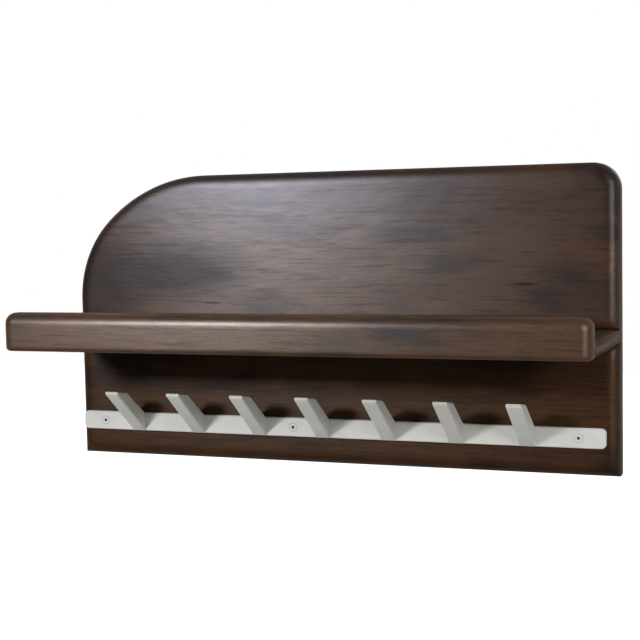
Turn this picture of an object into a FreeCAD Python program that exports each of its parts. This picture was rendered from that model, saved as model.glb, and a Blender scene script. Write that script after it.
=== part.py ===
"""Wall shelf with a raised lip, and a rail of slanted hooks under it. Millimetres.

X runs to the right, Y into the wall and Z up. The origin is in the middle of the back's rear
face, so the wall is the plane Y = 0 and the front of the shelf has a negative Y.
"""
import FreeCAD, Part
import math
import os

V = FreeCAD.Vector

# Back: one panel stands on the shelf board and one hangs under it
back_w = 600
upper_h = 163
lower_h = 130
panel_t = 25
panel_edge_r = 10
sweep_run = 156
sweep_rise = 134
sweep_turn_deg = 47
corner_r = 26

# Shelf board and the lip along its front
shelf_t = 15
shelf_reach = 153
shelf_end_r = 5
lip_t = 22
lip_h = 39
lip_top_r = 11
lip_bottom_r = 4
lip_rear_r = 5

# Hook rail, a flat bar
rail_h = 20
rail_t = 4
rail_end_r = 5
rail_chamfer = 0.8
rail_above_bottom = 28.6
rail_from_left = 5
rail_from_right = 12

# Hooks: slanted bars with a blunt nose, the tip falling a little towards the wall
hook_n = 7
hook_w = 15.5
hook_reach = 60.5
hook_rise = 47.4
hook_nose_h = 3
hook_tip_d = 21.5
hook_tip_fall = 3.3
hook_from_left = 69.6
hook_from_right = 77.8
hook_chamfer = 1

# Screws that hold the rail
rail_screw_from_end = 27
rail_screw_head_r = 4.8
rail_screw_r = 2
rail_screw_l = 24
rail_screw_socket = 3
rail_screw_socket_d = 1.6
rail_screw_spaces = 2.53

# Glued dowels
back_dowel_n = 3
back_dowel_r = 4
back_dowel_bite = 18
back_dowel_from_end = 60
lip_dowel_n = 3
lip_dowel_r = 3
lip_dowel_bite = 14
lip_dowel_from_end = 75
dowel_gap = 0.1

# Keyhole plates let into the rear of the upper panel
hanger_from_end = 97
hanger_up = 222
hanger_w = 18
hanger_h = 62
hanger_t = 2
hanger_corner = 3
hanger_screw_span = 46
keyhole_r = 4.75
keyhole_slot_r = 2.4
keyhole_run = 9
pocket_margin = 3
pocket_d = 9
hanger_screw_head_r = 3.4
hanger_screw_r = 1.75
hanger_screw_l = 16
hanger_screw_socket = 2
hanger_screw_socket_d = 1
recess_gap = 0.25

# Screw holes and cuts
screw_gap = 0.15
overrun = 1

# Places that follow from the sizes
back_h = lower_h + shelf_t + upper_h
bottom_z = -back_h / 2
shelf_z = bottom_z + lower_h
upper_z = shelf_z + shelf_t
top_z = upper_z + upper_h
panel_y = -panel_t
lip_y = panel_y - shelf_reach
rail_l = back_w - rail_from_left - rail_from_right
rail_x = -back_w / 2 + rail_from_left
rail_z = bottom_z + rail_above_bottom
rail_y = panel_y - rail_t
hanger_z = bottom_z + hanger_up
seat_y = -(panel_t - panel_edge_r) / 2


def at(shape, x, y, z):
    """The shape, moved."""
    moved = shape.copy()
    moved.translate(V(x, y, z))
    return moved


def spread(count, first, last):
    """Evenly spaced places from first to last."""
    step = (last - first) / (count - 1)
    return [first + step * i for i in range(count)]


def face_from(points):
    """A flat face with straight sides."""
    return Part.Face(Part.makePolygon(points + points[:1]))


def edges_where(shape, test):
    """The edges whose middle passes the test."""
    return [e for e in shape.Edges if test(e.valueAt((e.FirstParameter + e.LastParameter) / 2))]


def turned(profile):
    """A solid turned about the Y axis from (radius, y) points."""
    face = face_from([V(r, y, 0) for r, y in profile])
    return face.revolve(V(0, 0, 0), V(0, 1, 0), 360)


def screw_body(head_r, shank_r, length, gap=0):
    """A countersunk screw along +Y with its head flush at Y = 0; a gap makes its hole."""
    start = -overrun if gap else 0
    mouth = head_r + gap - start
    shank = shank_r + gap
    end = length + gap
    return turned([(0, start), (mouth, start), (shank, head_r - shank_r), (shank, end), (0, end)])


def screw(head_r, shank_r, length, across, depth):
    """A countersunk screw with a hexagon socket."""
    socket_r = across / math.sqrt(3)
    corners = [math.radians(60 * i) for i in range(6)]
    points = [V(socket_r * math.cos(a), -overrun, socket_r * math.sin(a)) for a in corners]
    socket = face_from(points).extrude(V(0, overrun + depth, 0))
    return screw_body(head_r, shank_r, length).cut(socket)


def back_dowel_places():
    reach = back_w / 2 - back_dowel_from_end
    return spread(back_dowel_n, -reach, reach)


def lip_dowel_places():
    reach = back_w / 2 - lip_dowel_from_end
    return spread(lip_dowel_n, -reach, reach)


def hook_places():
    return spread(hook_n, rail_x + hook_from_left, rail_x + rail_l - hook_from_right)


def rail_screw_places():
    hooks = hook_places()
    middle = hooks[0] + (hooks[1] - hooks[0]) * rail_screw_spaces
    return [rail_x + rail_screw_from_end, middle, rail_x + rail_l - rail_screw_from_end]


def hanger_places():
    reach = back_w / 2 - hanger_from_end
    return [-reach, reach]


def hanger_screw_places():
    return [hanger_z - hanger_screw_span / 2, hanger_z + hanger_screw_span / 2]


def back_dowel_holes():
    """The holes for the dowels that run up through the shelf board."""
    length = shelf_t + 2 * (back_dowel_bite + dowel_gap)
    hole = Part.makeCylinder(back_dowel_r + dowel_gap, length)
    base = shelf_z - back_dowel_bite - dowel_gap
    return [at(hole, x, seat_y, base) for x in back_dowel_places()]


def lip_dowel_holes():
    """The holes for the dowels between the shelf board's front edge and the lip."""
    length = 2 * (lip_dowel_bite + dowel_gap)
    hole = Part.makeCylinder(lip_dowel_r + dowel_gap, length, V(0, 0, 0), V(0, 1, 0))
    start = lip_y + lip_t - lip_dowel_bite - dowel_gap
    return [at(hole, x, start, shelf_z + shelf_t / 2) for x in lip_dowel_places()]


def arc(centre, radius, start_deg, end_deg):
    """An arc in the XZ plane; degrees run from +X towards +Z."""
    turns = [math.radians(d) for d in (start_deg, (start_deg + end_deg) / 2, end_deg)]
    points = [centre + V(radius * math.cos(t), 0, radius * math.sin(t)) for t in turns]
    return Part.Arc(*points).toShape()


def upper_outline():
    """The upper panel seen from the front: a long sweep at the left, a small corner at the right.

    The sweep is two arcs that meet in one tangent, the tighter one below.
    """
    left, right = -back_w / 2, back_w / 2
    turn = math.radians(sweep_turn_deg)
    more = (sweep_run - sweep_rise) / (math.sin(turn) + math.cos(turn) - 1)
    low_r = sweep_run - more * math.cos(turn)
    high_r = sweep_rise + more * math.sin(turn)
    foot_z = top_z - sweep_rise
    low = arc(V(left + low_r, 0, foot_z), low_r, 180, 180 - sweep_turn_deg)
    high = arc(V(left + sweep_run, 0, top_z - high_r), high_r, 180 - sweep_turn_deg, 90)
    corner = arc(V(right - corner_r, 0, top_z - corner_r), corner_r, 90, 0)
    top = Part.makeLine(V(left + sweep_run, 0, top_z), V(right - corner_r, 0, top_z))
    side = Part.makeLine(V(right, 0, top_z - corner_r), V(right, 0, upper_z))
    foot = Part.makeLine(V(right, 0, upper_z), V(left, 0, upper_z))
    rise = Part.makeLine(V(left, 0, upper_z), V(left, 0, foot_z))
    return Part.Wire([rise, low, high, top, corner, side, foot])


def hanger_seat(x):
    """What is cut from the upper panel for one keyhole plate."""
    width = hanger_w + 2 * recess_gap
    height = hanger_h + 2 * recess_gap
    depth = hanger_t + recess_gap
    recess = Part.makeBox(width, depth + overrun, height)
    recess = recess.makeChamfer(hanger_corner, edges_where(recess, lambda p: corner_of(p, width, height)))
    recess = at(recess, x - width / 2, -depth, hanger_z - height / 2)
    pocket_w = 2 * keyhole_r + pocket_margin
    pocket_h = keyhole_run + 2 * (keyhole_r + pocket_margin)
    pocket = Part.makeBox(pocket_w, pocket_d + hanger_t, pocket_h)
    pocket = at(pocket, x - pocket_w / 2, -pocket_d - hanger_t, hanger_z - keyhole_r - pocket_margin)
    return recess.fuse(pocket)


def corner_of(p, width, height):
    """True for the middle of an edge along Y at a corner of a box of this width and height."""
    return min(p.x, width - p.x) < recess_gap and min(p.z, height - p.z) < recess_gap


def turned_round(shape):
    """A screw shape turned round to go in from the wall side."""
    flipped = shape.copy()
    flipped.rotate(V(0, 0, 0), V(0, 0, 1), 180)
    return flipped


def upper_back_panel():
    """Solid board with its front edges rounded over, dowel holes below and hanger seats behind."""
    board = Part.Face(upper_outline()).extrude(V(0, panel_y, 0))
    board = board.makeFillet(panel_edge_r, edges_where(board, lambda p: p.y < panel_y / 2 - panel_edge_r / 2))
    hole = turned_round(screw_body(hanger_screw_head_r, hanger_screw_r, hanger_screw_l, screw_gap))
    holes = [at(hole, x, -recess_gap, z) for x in hanger_places() for z in hanger_screw_places()]
    seats = [hanger_seat(x) for x in hanger_places()]
    return board.cut(back_dowel_holes() + seats + holes)


def lower_back_panel():
    """Solid board with its front edges rounded over, bored for the dowels and the rail's screws."""
    board = Part.makeBox(back_w, panel_t, lower_h, V(-back_w / 2, panel_y, bottom_z))
    board = board.makeFillet(panel_edge_r, edges_where(board, lambda p: p.y < panel_y / 2 - panel_edge_r / 2))
    hole = screw_body(rail_screw_head_r, rail_screw_r, rail_screw_l, screw_gap)
    holes = [at(hole, x, rail_y, rail_z + rail_h / 2) for x in rail_screw_places()]
    return board.cut(back_dowel_holes() + holes)


def shelf_board():
    """Board that runs back to the wall between the two panels, its ends eased."""
    depth = panel_t + shelf_reach - lip_t
    board = Part.makeBox(back_w, depth, shelf_t, V(-back_w / 2, -depth, shelf_z))
    inside = back_w / 2 - shelf_end_r
    board = board.makeFillet(shelf_end_r, edges_where(board, lambda p: abs(p.x) > inside and p.y < panel_y and -depth < p.y))
    return board.cut(back_dowel_holes() + lip_dowel_holes())


def shelf_lip():
    """Thick strip along the front, rounded most along the top and round its ends."""
    lip = Part.makeBox(back_w, lip_t, lip_h, V(-back_w / 2, lip_y, shelf_z))
    low, high = shelf_z + lip_bottom_r, shelf_z + lip_h - lip_rear_r
    front, rear = lip_y + lip_rear_r, lip_y + lip_t - lip_rear_r
    end = back_w / 2 - lip_rear_r
    upper = edges_where(lip, lambda p: p.y < rear and p.z > low and (p.z > high or abs(p.x) > end))
    lip = lip.makeFillet(lip_top_r, upper)
    lower = edges_where(lip, lambda p: p.z < shelf_z + lip_bottom_r / 2 and p.y < rear)
    lip = lip.makeFillet(lip_bottom_r, lower)
    back = edges_where(lip, lambda p: p.y > rear and p.z > high and abs(p.x) < end)
    lip = lip.makeFillet(lip_rear_r, back)
    return lip.cut(lip_dowel_holes())


def hook_rail():
    """Flat bar with rounded corners, countersunk for its screws."""
    bar = Part.makeBox(rail_l, rail_t, rail_h, V(rail_x, rail_y, rail_z))
    middle = rail_x + rail_l / 2
    bar = bar.makeFillet(rail_end_r, edges_where(bar, lambda p: rail_y < p.y < panel_y and abs(p.x - middle) > rail_l / 4))
    bar = bar.makeChamfer(rail_chamfer, edges_where(bar, lambda p: p.y < rail_y + rail_chamfer))
    hole = screw_body(rail_screw_head_r, rail_screw_r, rail_screw_l, screw_gap)
    return bar.cut([at(hole, x, rail_y, rail_z + rail_h / 2) for x in rail_screw_places()])


def hook(x):
    """Slanted bar with a blunt nose, welded to the rail over its full height."""
    nose_y = rail_y - hook_reach
    nose_z = rail_z + hook_rise
    tip_z = nose_z + hook_nose_h
    left = x - hook_w / 2
    side = [V(left, rail_y, rail_z), V(left, nose_y, nose_z), V(left, nose_y, tip_z)]
    side += [V(left, nose_y + hook_tip_d, tip_z - hook_tip_fall), V(left, rail_y, rail_z + rail_h)]
    bar = face_from(side).extrude(V(hook_w, 0, 0))
    return bar.makeChamfer(hook_chamfer, edges_where(bar, lambda p: p.y < rail_y - hook_chamfer))


def rail_screws():
    """The screws seen on the rail's face."""
    one = screw(rail_screw_head_r, rail_screw_r, rail_screw_l, rail_screw_socket, rail_screw_socket_d)
    return Part.makeCompound([at(one, x, rail_y, rail_z + rail_h / 2) for x in rail_screw_places()])


def back_dowels():
    """Dowels from the lower panel, through the shelf board, into the upper panel."""
    one = Part.makeCylinder(back_dowel_r, shelf_t + 2 * back_dowel_bite)
    return Part.makeCompound([at(one, x, seat_y, shelf_z - back_dowel_bite) for x in back_dowel_places()])


def lip_dowels():
    """Dowels from the shelf board's front edge into the lip."""
    one = Part.makeCylinder(lip_dowel_r, 2 * lip_dowel_bite, V(0, 0, 0), V(0, 1, 0))
    start = lip_y + lip_t - lip_dowel_bite
    return Part.makeCompound([at(one, x, start, shelf_z + shelf_t / 2) for x in lip_dowel_places()])


def keyhole():
    """The keyhole of a plate whose middle is the origin: a round entry and a slot above it."""
    depth = hanger_t + 2 * overrun
    entry = Part.makeCylinder(keyhole_r, depth, V(0, overrun, 0), V(0, -1, 0))
    slot_top = Part.makeCylinder(keyhole_slot_r, depth, V(0, overrun, keyhole_run), V(0, -1, 0))
    slot = Part.makeBox(2 * keyhole_slot_r, depth, keyhole_run, V(-keyhole_slot_r, overrun - depth, 0))
    return entry.fuse([slot_top, slot])


def hanger(x):
    """Keyhole plate with clipped corners and two countersunk screw holes, just below the wall plane."""
    plate = Part.makeBox(hanger_w, hanger_t, hanger_h)
    plate = plate.makeChamfer(hanger_corner, edges_where(plate, lambda p: corner_of(p, hanger_w, hanger_h)))
    plate = at(plate, x - hanger_w / 2, -hanger_t - recess_gap, hanger_z - hanger_h / 2)
    hole = turned_round(screw_body(hanger_screw_head_r, hanger_screw_r, hanger_screw_l, screw_gap))
    holes = [at(hole, x, -recess_gap, z) for z in hanger_screw_places()]
    return plate.cut(holes + [at(keyhole(), x, -recess_gap, hanger_z)])


def hanger_screws():
    """The screws of both keyhole plates."""
    one = screw(hanger_screw_head_r, hanger_screw_r, hanger_screw_l, hanger_screw_socket, hanger_screw_socket_d)
    one = turned_round(one)
    places = [(x, z) for x in hanger_places() for z in hanger_screw_places()]
    return Part.makeCompound([at(one, x, -recess_gap, z) for x, z in places])


def main():
    os.makedirs("parts", exist_ok=True)
    pieces = {
        "upper_back_panel": upper_back_panel(),
        "lower_back_panel": lower_back_panel(),
        "shelf_board": shelf_board(),
        "shelf_lip": shelf_lip(),
        "hook_rail": hook_rail(),
        "rail_screws": rail_screws(),
        "back_dowels": back_dowels(),
        "lip_dowels": lip_dowels(),
        "hanger_left": hanger(hanger_places()[0]),
        "hanger_right": hanger(hanger_places()[1]),
        "hanger_screws": hanger_screws(),
    }
    for number, x in enumerate(hook_places(), 1):
        pieces[f"hook_{number}"] = hook(x)
    for name, shape in pieces.items():
        shape.exportStep(f"parts/{name}.step")
        print(name, len(shape.Solids), round(shape.Volume), shape.isValid())


main()
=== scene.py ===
"""Looks of a dark wooden wall shelf with a raised lip and a white rail of slanted hooks. Metres."""
import math

import bmesh
import bpy
from mathutils import Matrix, Vector


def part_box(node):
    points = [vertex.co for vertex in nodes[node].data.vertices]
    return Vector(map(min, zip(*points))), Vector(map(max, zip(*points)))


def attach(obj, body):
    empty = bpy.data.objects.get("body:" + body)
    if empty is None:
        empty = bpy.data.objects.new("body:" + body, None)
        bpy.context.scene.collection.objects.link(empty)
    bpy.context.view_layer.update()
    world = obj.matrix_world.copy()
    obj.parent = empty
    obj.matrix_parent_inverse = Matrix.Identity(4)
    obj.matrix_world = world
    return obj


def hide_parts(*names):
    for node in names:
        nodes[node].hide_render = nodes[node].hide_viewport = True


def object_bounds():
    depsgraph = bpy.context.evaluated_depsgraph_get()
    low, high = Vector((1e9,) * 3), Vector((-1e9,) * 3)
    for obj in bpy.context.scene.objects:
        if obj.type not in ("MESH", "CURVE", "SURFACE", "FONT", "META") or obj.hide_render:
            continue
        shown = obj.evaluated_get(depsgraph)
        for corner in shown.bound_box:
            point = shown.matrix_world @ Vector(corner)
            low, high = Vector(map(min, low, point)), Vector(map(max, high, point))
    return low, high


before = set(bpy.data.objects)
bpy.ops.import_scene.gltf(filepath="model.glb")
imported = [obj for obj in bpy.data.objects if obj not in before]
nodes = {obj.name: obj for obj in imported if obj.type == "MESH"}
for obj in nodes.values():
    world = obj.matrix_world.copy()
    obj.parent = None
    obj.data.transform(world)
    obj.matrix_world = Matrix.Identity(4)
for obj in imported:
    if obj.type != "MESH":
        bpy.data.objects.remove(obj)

cad_low, cad_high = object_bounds()
panel_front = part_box("upper_back_panel")[0].y

MM = 0.001

# Camera, fitted to the outlines in the photograph
CAMERA_PLACE = (0.5029, -1.3548, 0.1040)
CAMERA_YAW_DEG = 21.0875
CAMERA_DOWN_DEG = 4.2273
CAMERA_ROLL_DEG = -1.1535
CAMERA_LENS_MM = 76.58
SENSOR_MM = 36

# Eased ends of the shelf board, which stop just inside the panels' rounded fronts
EASE_RADIUS = 5 * MM
EASE_STOP = 6 * MM
EASE_STEPS = 8

# Joints between the staves that the boards are glued up from. The lip is one stave, with its joint
# past its end
UPPER_JOINT_Z = 0.078
LOWER_JOINT_Z = -0.078
SHELF_JOINT_Y = -0.095
PAST_THE_END = 1

# From one stave to the next in the log, and how much darker the stave beyond the joint is drawn. That
# is partly real and partly painted shade: on the lower panel this stave is the band in the shelf's shadow
LOG_STEP = (1.37, 0.43, 0.29)
DARKER_STAVE_AND_SHADE = 0.07

# How soft the edges are, on the fronts alone: wholly so to SOFT_DEPTH behind the panels' front, and
# not at all from CRISP_DEPTH
PANEL_SOFT = 13 * MM
STRIP_SOFT = 5 * MM
SOFT_DEPTH = 5 * MM
CRISP_DEPTH = 11 * MM
SOFT_SAMPLES = 8

# Grain along X, a little off it so that it doesn't point straight out of the boards' ends
GRAIN = (1, 0.02, 0.02)
GRAIN_SPREAD = 0.3
QUARTER_TURN = 0.25
OIL_IOR = 1.55

# Relief of the sanded wood: a slow wave and the streaks, as shares of the mottle's
WAVE_SHARE = 2.5
STREAK_SHARE = 0.35
RELIEF_DEPTH = 0.12 * MM

# A mark starts at one distance from its centre and is full at the next. The distance is in half
# sizes, with the streaks added, which make the mark ragged
MARK_EDGE = 2.0
MARK_FULL = 1.1
MARK_RAGGED = 1.6

# Marks on the upper panel's front, real stains and cracks and two of painted shade and sheen: centre,
# half size, share, colour, and the sheen's tint
UPPER_MARKS = (
    # Painted reflection along the top: a darker stain with a cooler, bluish tint on the sheen
    ((-0.080, panel_front, 0.165), (0.300, 0.10, 0.090), 0.7, "#2E2520", "#EAE8FA"),
    # Painted shade at the left end: darker, with a weaker sheen, where the lamp's sheen falls off
    ((-0.290, panel_front, 0.040), (0.115, 0.05, 0.100), 0.8, "#2B201A", "#989292"),
    # Slate-coloured patch on the left
    ((-0.180, panel_front, 0.050), (0.085, 0.04, 0.035), 0.85, "#26201D", "#A3A2AC"),
    # Warm patch under it
    ((-0.198, panel_front, 0.010), (0.024, 0.02, 0.008), 0.6, "#4A2E1E", "#FFE2D0"),
    # Crack over the lip
    ((-0.133, panel_front, 0.016), (0.012, 0.02, 0.0009), 0.8, "#24120C", "#7A625A"),
    # Dark streak on the right
    ((0.208, panel_front, 0.036), (0.016, 0.02, 0.0018), 0.7, "#180D08", "#5A4A44"),
)

# Rail screws: their places along the rail, the painted shade in the gap round a head, and where the
# painted shade of the recessed socket starts
SCREWS_X = (-0.268, -0.0417, 0.261)
HEAD_GAP_SHADE = (4.1 * MM, 4.7 * MM)
SOCKET_SHADE_DEPTH = (0.2 * MM, 0.5 * MM)

# Studio
FLOOR_DROP = 1.7
FLOOR_REACH = 14
FLOOR_GLOW = 0.96
CLOTH_REACH = 5
CLOTH_HALF_HEIGHT = 1.65
WALL_REACH = 4
WALL_GAP = 0.8 * MM
ROOM_DIM = 0.35


def linear(code):
    """A linear colour from its sRGB hex value."""
    parts = [int(code[i:i + 2], 16) / 255 for i in (1, 3, 5)]
    return [c / 12.92 if c <= 0.04045 else ((c + 0.055) / 1.055) ** 2.4 for c in parts] + [1]


def feed(tree, node, inputs):
    """Sets a node's inputs to values or other nodes' outputs.

    They go by socket name, or by number where a node's names repeat.
    """
    for socket, value in inputs.items():
        if isinstance(value, bpy.types.NodeSocket):
            tree.links.new(value, node.inputs[socket])
        else:
            node.inputs[socket].default_value = value


def add(tree, kind, inputs=None, out=0, **settings):
    """Adds a node with its settings and inputs, and gives one of its outputs."""
    node = tree.nodes.new("ShaderNode" + kind)
    for name, value in settings.items():
        setattr(node, name, value)
    feed(tree, node, inputs or {})
    return node.outputs[out]


def material(name):
    """An empty material with its shader, ready for its pattern."""
    made = bpy.data.materials.new(name)
    made.use_nodes = True
    tree = made.node_tree
    return made, tree, tree.nodes["Principled BSDF"]


def along_grain(tree, place, length, width, detail, roughness=0.55):
    """A pattern whose patches are length mm long in X and width mm wide in Y and Z.

    Most of it lies between 0.3 and 0.7.
    """
    scale = (1 / (length * MM), 1 / (width * MM), 1 / (width * MM))
    stretched = add(tree, "Mapping", {"Vector": place, "Scale": scale})
    inputs = {"Vector": stretched, "Scale": 1, "Detail": detail, "Roughness": roughness}
    return add(tree, "TexNoise", inputs)


def layered(tree, colour, layers):
    """Lays colours over the first: (pattern, start, full, share, hex).

    A layer starts where its pattern is at start and has its whole share where that is at full.
    """
    for pattern, start, full, share, code in layers:
        limits = {"Value": pattern, "From Min": start, "From Max": full, "To Max": share}
        cover = add(tree, "MapRange", limits, interpolation_type="SMOOTHSTEP")
        both = {"Factor": cover, "A": colour, "B": linear(code)}
        colour = add(tree, "Mix", both, out="Result", data_type="RGBA")
    return colour


def soft_fronts(tree, here, soft):
    """The form's normal, with the edges softened on the front and left crisp on the rear."""
    crisp = add(tree, "NewGeometry", out="Normal")
    softened = add(tree, "Bevel", {"Radius": soft}, samples=SOFT_SAMPLES)
    depth = add(tree, "SeparateXYZ", {"Vector": here}, out="Y")
    limits = {"Value": depth, "From Min": panel_front + CRISP_DEPTH, "From Max": panel_front + SOFT_DEPTH}
    front = add(tree, "MapRange", limits)
    both = {"Factor": front, "A": crisp, "B": softened}
    return add(tree, "Mix", both, out="Result", data_type="VECTOR")


def stained_wood(name, seed, tones, gloss, soft, joint=PAST_THE_END, across="Z", marks=()):
    """Solid hardwood glued up from staves, stained dark, oiled satin, with its edges sanded soft.

    The stain lies in soft clouds, the stave beyond the joint is drawn darker, and the grain shows
    faintly. The darker stave is partly real and partly painted shade: on the lower panel it is the band
    in the shelf's shadow. The seed picks the log, the tones are slate, brown and warm, and gloss is
    the level and tint of the oil's sheen.
    """
    made, tree, shader = material(name)
    slate, brown, warm = tones
    level, sheen = gloss
    here = add(tree, "TexCoord", out="Object")
    crosswise = add(tree, "SeparateXYZ", {"Vector": here}, out=across)

    # Each stave is cut from another part of the log
    beyond = add(tree, "Math", {0: crosswise, 1: joint}, operation="GREATER_THAN")
    stave = add(tree, "Math", {0: beyond, 1: seed}, operation="ADD")
    shift = add(tree, "VectorMath", {0: LOG_STEP, "Scale": stave}, operation="SCALE")
    place = add(tree, "VectorMath", {0: here, 1: shift}, operation="ADD")

    clouds = along_grain(tree, place, length=130, width=50, detail=2)
    # Painted shade in part: on the lower panel the darker stave beyond the joint is the band in the
    # shelf's shadow
    clouds = add(tree, "Math", {0: beyond, 1: -DARKER_STAVE_AND_SHADE, 2: clouds}, operation="MULTIPLY_ADD")
    mottle = along_grain(tree, place, length=24, width=9, detail=4, roughness=0.6)
    streaks = along_grain(tree, place, length=60, width=2.6, detail=4, roughness=0.65)
    # Real pores are about 0.2 mm wide, and these are drawn as coarse as it takes to show
    pores = along_grain(tree, place, length=8, width=0.8, detail=1, roughness=0.5)
    colour = layered(tree, linear(slate), (
        (clouds, 0.26, 0.54, 1, brown),
        (mottle, 0.46, 0.68, 0.4, warm),
        (streaks, 0.50, 0.64, 0.6, slate),
        (pores, 0.62, 0.74, 0.35, "#160D09"),
    ))
    # The oil's sheen takes the tone of the stained fibres under it
    tint = layered(tree, linear("#DAD8DE"), (
        (clouds, 0.26, 0.50, 1, sheen),
        (mottle, 0.44, 0.66, 0.3, "#FFEEE4"),
        (streaks, 0.50, 0.64, 0.6, "#C6C2C5"),
        (pores, 0.62, 0.74, 0.3, "#A09896"),
    ))

    # Stains, cracks and resin marks, and patches of painted shade and sheen, ragged along the grain
    for centre, half_size, share, stain_and_shade, shine in marks:
        away = add(tree, "VectorMath", {0: here, 1: centre}, operation="SUBTRACT")
        shrunk = add(tree, "VectorMath", {0: away, 1: half_size}, operation="DIVIDE")
        distance = add(tree, "VectorMath", {0: shrunk}, out="Value", operation="LENGTH")
        ragged = add(tree, "Math", {0: streaks, 1: MARK_RAGGED, 2: distance}, operation="MULTIPLY_ADD")
        colour = layered(tree, colour, ((ragged, MARK_EDGE, MARK_FULL, share, stain_and_shade),))
        tint = layered(tree, tint, ((ragged, MARK_EDGE, MARK_FULL, share, shine),))

    # The oil stays a little glossier where the stain took less
    satin = add(tree, "MapRange", {
        "Value": mottle, "From Min": 0.3, "From Max": 0.7, "To Min": 0.40, "To Max": 0.37})

    # The gentle unevenness that sanding leaves, and the grain that stands a little proud
    wave = along_grain(tree, place, length=55, width=30, detail=2, roughness=0.4)
    relief = add(tree, "Math", {0: wave, 1: WAVE_SHARE, 2: mottle}, operation="MULTIPLY_ADD")
    relief = add(tree, "Math", {0: streaks, 1: STREAK_SHARE, 2: relief}, operation="MULTIPLY_ADD")
    form = soft_fronts(tree, here, soft)
    bump = add(tree, "Bump", {"Height": relief, "Strength": 1, "Distance": RELIEF_DEPTH, "Normal": form})

    # Sanding along the grain spreads the sheen more across it
    grain = add(tree, "CombineXYZ", dict(zip("XYZ", GRAIN)))
    feed(tree, shader, {
        "Base Color": colour, "Specular Tint": tint, "Specular IOR Level": level, "IOR": OIL_IOR,
        "Roughness": satin, "Normal": bump, "Tangent": grain,
        "Anisotropic": GRAIN_SPREAD, "Anisotropic Rotation": QUARTER_TURN,
    })
    return made


def powder_coat():
    """White polyester powder on steel: baked, evenly thick, with a fine orange peel."""
    made, tree, shader = material("baked_white_powder_coat")
    here = add(tree, "TexCoord", out="Object")
    peel = add(tree, "TexNoise", {"Vector": here, "Scale": 1 / (1.6 * MM), "Detail": 2})
    cloud = add(tree, "TexNoise", {"Vector": here, "Scale": 1 / (35 * MM), "Detail": 3})
    colour = layered(tree, linear("#D1D0C9"), ((cloud, 0.35, 0.65, 1, "#D8D7D0"),))
    rough = add(tree, "MapRange", {
        "Value": cloud, "From Min": 0.3, "From Max": 0.7, "To Min": 0.42, "To Max": 0.50})
    bump = add(tree, "Bump", {"Height": peel, "Strength": 0.35, "Distance": 0.05 * MM})
    feed(tree, shader, {"Base Color": colour, "Roughness": rough, "Normal": bump})
    return made


def coated_screw():
    """Countersunk steel screws, powder coated with the rail.

    The sockets are painted near black, and a fine dark line is painted round each head: both are
    painted shade, in the recessed socket and in the gap round the head.
    """
    low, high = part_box("rail_screws")
    middle_z = (low.z + high.z) / 2
    made, tree, shader = material("powder_coated_screw")
    here = add(tree, "TexCoord", out="Object")
    reach = None
    for x in SCREWS_X:
        head = (x, low.y, middle_z)
        away = add(tree, "VectorMath", {0: here, 1: head}, out="Value", operation="DISTANCE")
        reach = add(tree, "Math", {0: reach, 1: away}, operation="MINIMUM") if reach else away
    depth = add(tree, "SeparateXYZ", {"Vector": here}, out="Y")
    # Painted shade: a dark line in the gap round each head, and the recessed socket near black
    colour = layered(tree, linear("#D4D3CC"), (
        (reach, *HEAD_GAP_SHADE, 0.6, "#6E6D69"),
        (depth, low.y + SOCKET_SHADE_DEPTH[0], low.y + SOCKET_SHADE_DEPTH[1], 1, "#2B2A28"),
    ))
    feed(tree, shader, {"Base Color": colour, "Roughness": 0.46})
    return made


def zinc_plate():
    """Pressed steel, zinc plated: a pale grey metal with soft crystals and a fine rolling grain."""
    made, tree, shader = material("zinc_plated_steel")
    here = add(tree, "TexCoord", out="Object")
    crystals = add(tree, "TexVoronoi", {"Vector": here, "Scale": 1 / (2.5 * MM)}, out="Distance")
    # Real rolling lines are finer, and these are drawn as coarse as it takes to show
    rolling = along_grain(tree, here, length=0.5, width=12, detail=3)
    colour = layered(tree, linear("#85888A"), ((crystals, 0.1, 0.7, 1, "#989B9D"),))
    rough = add(tree, "MapRange", {
        "Value": rolling, "From Min": 0.3, "From Max": 0.7, "To Min": 0.44, "To Max": 0.56})
    bump = add(tree, "Bump", {"Height": rolling, "Strength": 0.3, "Distance": 0.02 * MM})
    feed(tree, shader, {"Base Color": colour, "Metallic": 1, "Roughness": rough, "Normal": bump})
    return made


def beech():
    """Turned beech dowel, left bare: pale, with short dark flecks."""
    made, tree, shader = material("turned_beech")
    here = add(tree, "TexCoord", out="Object")
    flecks = add(tree, "TexNoise", {"Vector": here, "Scale": 1 / (1.2 * MM), "Detail": 3})
    tone = add(tree, "TexNoise", {"Vector": here, "Scale": 1 / (8 * MM), "Detail": 2})
    colour = layered(tree, linear("#C9A077"), (
        (tone, 0.35, 0.65, 1, "#D8B48C"),
        (flecks, 0.58, 0.70, 0.5, "#8F6340"),
    ))
    bump = add(tree, "Bump", {"Height": flecks, "Strength": 0.3, "Distance": 0.05 * MM})
    feed(tree, shader, {"Base Color": colour, "Roughness": 0.65, "Normal": bump})
    return made


def studio_paint(name, code, roughness):
    """One even colour, for what stands round the shelf."""
    made, tree, shader = material(name)
    feed(tree, shader, {"Base Color": linear(code), "Roughness": roughness})
    return made


def dress(names, finish):
    """Gives the nodes their finish."""
    for name in names:
        for slot in nodes[name].material_slots:
            slot.material = finish


def everything(shape):
    """All of a shape's vertices, edges and faces."""
    return shape.verts[:] + shape.edges[:] + shape.faces[:]


def finished(name, shape, finish):
    """An object made from a shape, in its finish."""
    mesh = bpy.data.meshes.new(name)
    shape.to_mesh(mesh)
    shape.free()
    mesh.materials.append(finish)
    made = bpy.data.objects.new(name, mesh)
    bpy.context.scene.collection.objects.link(made)
    return made


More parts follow.
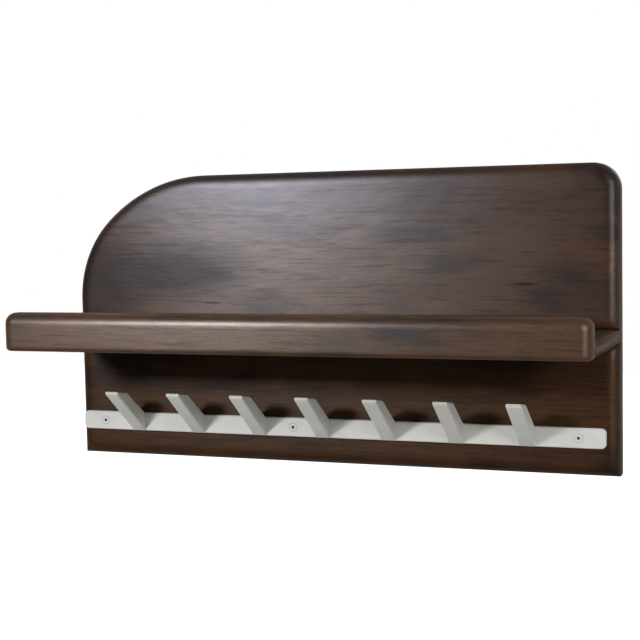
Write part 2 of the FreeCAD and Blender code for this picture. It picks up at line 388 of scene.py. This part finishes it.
def shelf_board(finish):
    """The shelf board with its ends eased in front of the back alone, and flush between the panels."""
    low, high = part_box("shelf_board")
    shape = bmesh.new()
    bmesh.ops.create_cube(shape, size=1)
    bmesh.ops.scale(shape, vec=high - low, verts=shape.verts)
    bmesh.ops.translate(shape, vec=(low + high) / 2, verts=shape.verts)
    stop = panel_front + EASE_STOP
    bmesh.ops.bisect_plane(shape, geom=everything(shape), plane_co=(0, stop, 0), plane_no=(0, 1, 0))

    def eased(edge):
        """Whether an edge runs front to back along an end, before the stop."""
        one, two = [v.co for v in edge.verts]
        at_end = min(abs(one.x), abs(two.x)) > high.x - MM
        before_stop = max(one.y, two.y) < stop + MM
        return at_end and before_stop and abs(one.y - two.y) > MM

    ends = [edge for edge in shape.edges if eased(edge)]
    rounds = bmesh.ops.bevel(
        shape, geom=ends, offset=EASE_RADIUS, segments=EASE_STEPS, profile=0.5, material=-1,
        affect="EDGES")
    for face in rounds["faces"]:
        face.smooth = True
    made = finished("eased_shelf_board", shape, finish)
    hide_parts("shelf_board")
    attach(made, "root")


def seen_white(tree):
    """1 for what is seen directly, in metal or through glass, and 0 for light that falls on things."""
    seen = add(tree, "LightPath", out="Is Camera Ray")
    for ray in ("Is Glossy Ray", "Is Transmission Ray"):
        seen = add(tree, "Math", {0: seen, 1: add(tree, "LightPath", out=ray)}, operation="MAXIMUM")
    return seen


def only_in_gloss(made):
    """Shows a stage object in reflections alone, so that it neither hides nor shades the shelf."""
    made.visible_camera = False
    made.visible_diffuse = False
    made.visible_transmission = False
    made.visible_shadow = False


def pale_floor():
    """A pale floor far below the shelf; it looks as white as the room and keeps a faint shadow."""
    shape = bmesh.new()
    bmesh.ops.create_grid(shape, x_segments=1, y_segments=1, size=FLOOR_REACH)
    bmesh.ops.translate(shape, vec=(0, 0, -FLOOR_DROP), verts=shape.verts)
    finish = studio_paint("pale_painted_floor", "#F2F2F0", roughness=0.8)
    tree = finish.node_tree
    strength = add(tree, "Math", {0: seen_white(tree), 1: FLOOR_GLOW}, operation="MULTIPLY")
    glow = add(tree, "Emission", {"Strength": strength})
    both = add(tree, "AddShader", {0: tree.nodes["Principled BSDF"].outputs[0], 1: glow})
    feed(tree, tree.nodes["Material Output"], {"Surface": both})
    finished("pale_floor", shape, finish)


def grey_wall():
    """A grey wall round the shelf, open behind it, that shows in the gloss of the boards' ends."""
    shape = bmesh.new()
    bmesh.ops.create_grid(shape, x_segments=1, y_segments=1, size=1)
    # The opening is a little larger than the back, and like it centred on the origin
    opening = (cad_high[0] + WALL_GAP, cad_high[2] + WALL_GAP, 1)
    bmesh.ops.scale(shape, vec=opening, verts=shape.verts)
    upright = Matrix.Rotation(math.radians(90), 3, "X")
    bmesh.ops.rotate(shape, matrix=upright, verts=shape.verts)
    bmesh.ops.translate(shape, vec=(0, WALL_GAP, 0), verts=shape.verts)
    middle = shape.faces[:]
    edge = bmesh.ops.extrude_edge_only(shape, edges=shape.edges[:])["geom"]
    outer = [v for v in edge if isinstance(v, bmesh.types.BMVert)]
    outwards = (WALL_REACH / cad_high[0], 1, WALL_REACH / cad_high[2])
    bmesh.ops.scale(shape, vec=outwards, verts=outer)
    bmesh.ops.delete(shape, geom=middle, context="FACES_ONLY")
    made = finished("grey_wall", shape, studio_paint("grey_wall_paint", "#9A9996", roughness=0.9))
    only_in_gloss(made)


def black_cloth():
    """A studio's black cloth in front, seen only in reflections, so the dark wood stays dark."""
    shape = bmesh.new()
    bmesh.ops.create_uvsphere(shape, u_segments=32, v_segments=16, radius=CLOTH_REACH)
    bmesh.ops.scale(shape, vec=(1, 1, CLOTH_HALF_HEIGHT / CLOTH_REACH), verts=shape.verts)
    bmesh.ops.bisect_plane(
        shape, geom=everything(shape), plane_co=(0, 0, 0), plane_no=(0, 1, 0), clear_outer=True)
    made = finished("black_cloth", shape, studio_paint("black_studio_cloth", "#101010", roughness=1))
    only_in_gloss(made)


def softbox(name, place, aim, size, watts, spread_deg=180, code="#FFFFFF"):
    """A rectangular studio lamp, turned towards its aim; a spread under 180 is a grid on its front."""
    lamp = bpy.data.lights.new(name, "AREA")
    lamp.shape = "RECTANGLE"
    lamp.size, lamp.size_y = size
    lamp.energy = watts
    lamp.spread = math.radians(spread_deg)
    lamp.color = linear(code)[:3]
    made = bpy.data.objects.new(name, lamp)
    turn = (Vector(place) - Vector(aim)).to_track_quat("Z", "Y").to_matrix().to_4x4()
    made.matrix_world = Matrix.Translation(place) @ turn
    made.visible_camera = False
    bpy.context.scene.collection.objects.link(made)


def room():
    """The pale room: white behind everything that is seen, and a dim even light."""
    world = bpy.data.worlds.new("pale_room")
    world.use_nodes = True
    tree = world.node_tree
    strength = add(tree, "MapRange", {"Value": seen_white(tree), "To Min": ROOM_DIM})
    feed(tree, tree.nodes["Background"], {"Color": linear("#FFFFFF"), "Strength": strength})
    bpy.context.scene.world = world


def camera():
    """The photograph's viewpoint."""
    lens = bpy.data.cameras.new("camera")
    lens.lens = CAMERA_LENS_MM
    lens.sensor_width = SENSOR_MM
    lens.sensor_fit = "HORIZONTAL"
    made = bpy.data.objects.new("camera", lens)
    turn = Matrix.Rotation(math.radians(CAMERA_YAW_DEG), 4, "Z")
    tilt = Matrix.Rotation(math.radians(90 - CAMERA_DOWN_DEG), 4, "X")
    roll = Matrix.Rotation(math.radians(CAMERA_ROLL_DEG), 4, "Z")
    made.matrix_world = Matrix.Translation(CAMERA_PLACE) @ turn @ tilt @ roll
    bpy.context.scene.collection.objects.link(made)
    bpy.context.scene.camera = made


camera()

shelf_wood = stained_wood(
    "stained_shelf_staves", seed=5.3, tones=("#30221A", "#482F1E", "#563A25"), gloss=(1, "#FFF6F0"),
    soft=STRIP_SOFT, joint=SHELF_JOINT_Y, across="Y")
upper_wood = stained_wood(
    "stained_upper_staves", seed=3.1, tones=("#2B1D14", "#472C19", "#523420"), gloss=(0.77, "#FFF5F1"),
    soft=PANEL_SOFT, joint=UPPER_JOINT_Z, marks=UPPER_MARKS)
lower_wood = stained_wood(
    "stained_lower_staves", seed=7.7, tones=("#28190E", "#3E2613", "#4C2F18"), gloss=(0.46, "#FFE9D4"),
    soft=PANEL_SOFT, joint=LOWER_JOINT_Z)
lip_wood = stained_wood(
    "stained_lip", seed=9.2, tones=("#35261A", "#4F3520", "#5F4328"), gloss=(0.92, "#FFF2E8"),
    soft=STRIP_SOFT)
dress(["upper_back_panel"], upper_wood)
dress(["lower_back_panel"], lower_wood)
dress(["shelf_board"], shelf_wood)
dress(["shelf_lip"], lip_wood)
# The rail, which is hook_rail, and its hooks
dress([name for name in nodes if name.startswith("hook_")], powder_coat())
dress(["rail_screws"], coated_screw())
dress(["hanger_left", "hanger_right", "hanger_screws"], zinc_plate())
dress(["back_dowels", "lip_dowels"], beech())

pale_floor()
grey_wall()
black_cloth()
room()

# The near lamp on the left, for the sheen and the fan of hook shadows
softbox(
    "key_softbox", place=(-0.60, -1.22, 0.34), aim=(-0.2, -0.03, -0.03), size=(0.21, 0.16),
    watts=11.2, code="#F8FAFF")
# Two weak lamps on the right, for the rail's end and the rounded right edges
softbox(
    "right_softbox", place=(1.08, -1.05, 0.27), aim=(0.42, -0.05, -0.06), size=(0.25, 0.25),
    watts=0.23, spread_deg=34)
softbox(
    "side_softbox", place=(1.38, -0.83, 0.25), aim=(0.36, -0.05, -0.04), size=(0.3, 0.5),
    watts=0.30, spread_deg=60)
# The lamp behind, for the thin light rim along the top
softbox("rear_softbox", place=(0, 2.7, 0), aim=(0, 0, 0), size=(0.5, 0.25), watts=40)

shelf_board(shelf_wood)

bpy.context.scene.view_settings.view_transform = "Standard"
